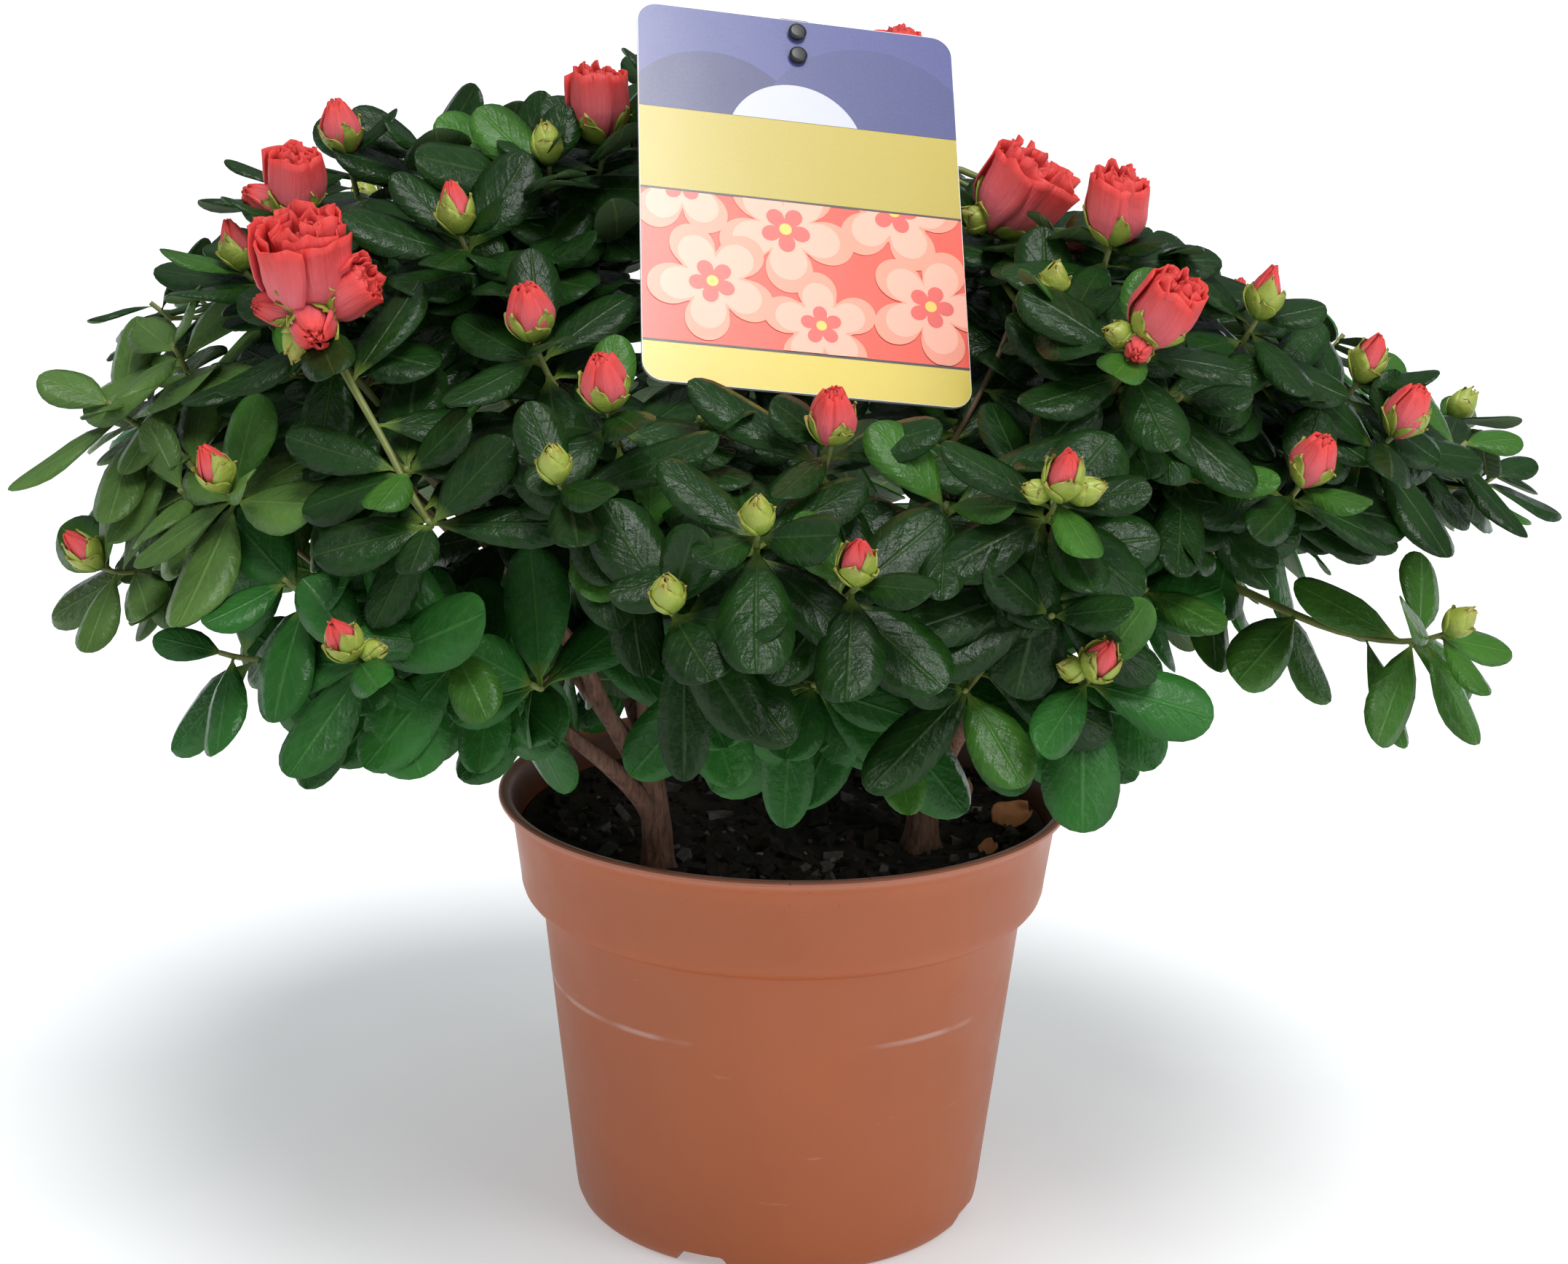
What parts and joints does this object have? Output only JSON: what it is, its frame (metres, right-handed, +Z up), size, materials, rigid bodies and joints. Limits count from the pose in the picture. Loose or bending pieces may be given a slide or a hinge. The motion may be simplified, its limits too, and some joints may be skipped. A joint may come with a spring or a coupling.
{
  "type": "potted azalea",
  "caption": "Wide, low evergreen azalea in bud, with woody stems, leafy sprays and a plant card on a stake, in a tapered plastic nursery pot.",
  "frame": {"origin": "centre of the pot's flat underside", "axes": "+Z up along the pot's axis; the card and the viewer's side of the crown face -Y; +X to the viewer's right"},
  "size_m": [0.373, 0.3242, 0.298],
  "materials": {
    "pot": "satin",
    "soil": "matte",
    "bark": "matte",
    "foliage": "satin",
    "foliage_pale": "matte",
    "bud_green": "satin",
    "petal": "matte",
    "card": "gloss",
    "stake": "satin"
  },
  "bodies": {
    "root": {"pot": "pot", "soil": "soil", "card": "card", "card_stake": "stake", "stem_left": "bark", "stem_right": "bark", "bough_left_front": "bark", "bough_left_low": "bark", "bough_left_side": "bark", "bough_rear_left": "bark", "bough_top_left": "bark", "bough_front": "bark", "bough_right_low": "bark", "bough_right_front": "bark", "bough_right_side": "bark", "bough_rear_right": "bark", "bough_rear": "bark", "bough_top_right": "bark", "spray_left_side": "foliage", "spray_left_low": "foliage", "spray_left_shoulder": "foliage", "spray_left_flowers": "foliage", "spray_left_front_low": "foliage", "spray_front_left": "foliage", "spray_front": "foliage", "spray_front_low": "foliage", "spray_front_right": "foliage", "spray_right_low": "foliage", "spray_right_front": "foliage", "spray_right_side": "foliage", "spray_right_far": "foliage", "spray_right_flowers": "foliage", "spray_right_shoulder": "foliage", "spray_top_right": "foliage", "spray_top_left": "foliage", "spray_top_rear_left": "foliage", "spray_top": "foliage", "spray_rear_low_1": "foliage", "spray_rear_low_2": "foliage", "spray_rear_low_3": "foliage", "spray_rear_low_4": "foliage", "spray_rear_low_5": "foliage", "spray_rear_high_1": "foliage", "spray_rear_high_2": "foliage", "spray_rear_high_3": "foliage", "spray_rear_high_4": "foliage", "spray_rear_high_5": "foliage"}
  },
  "joints": []
}
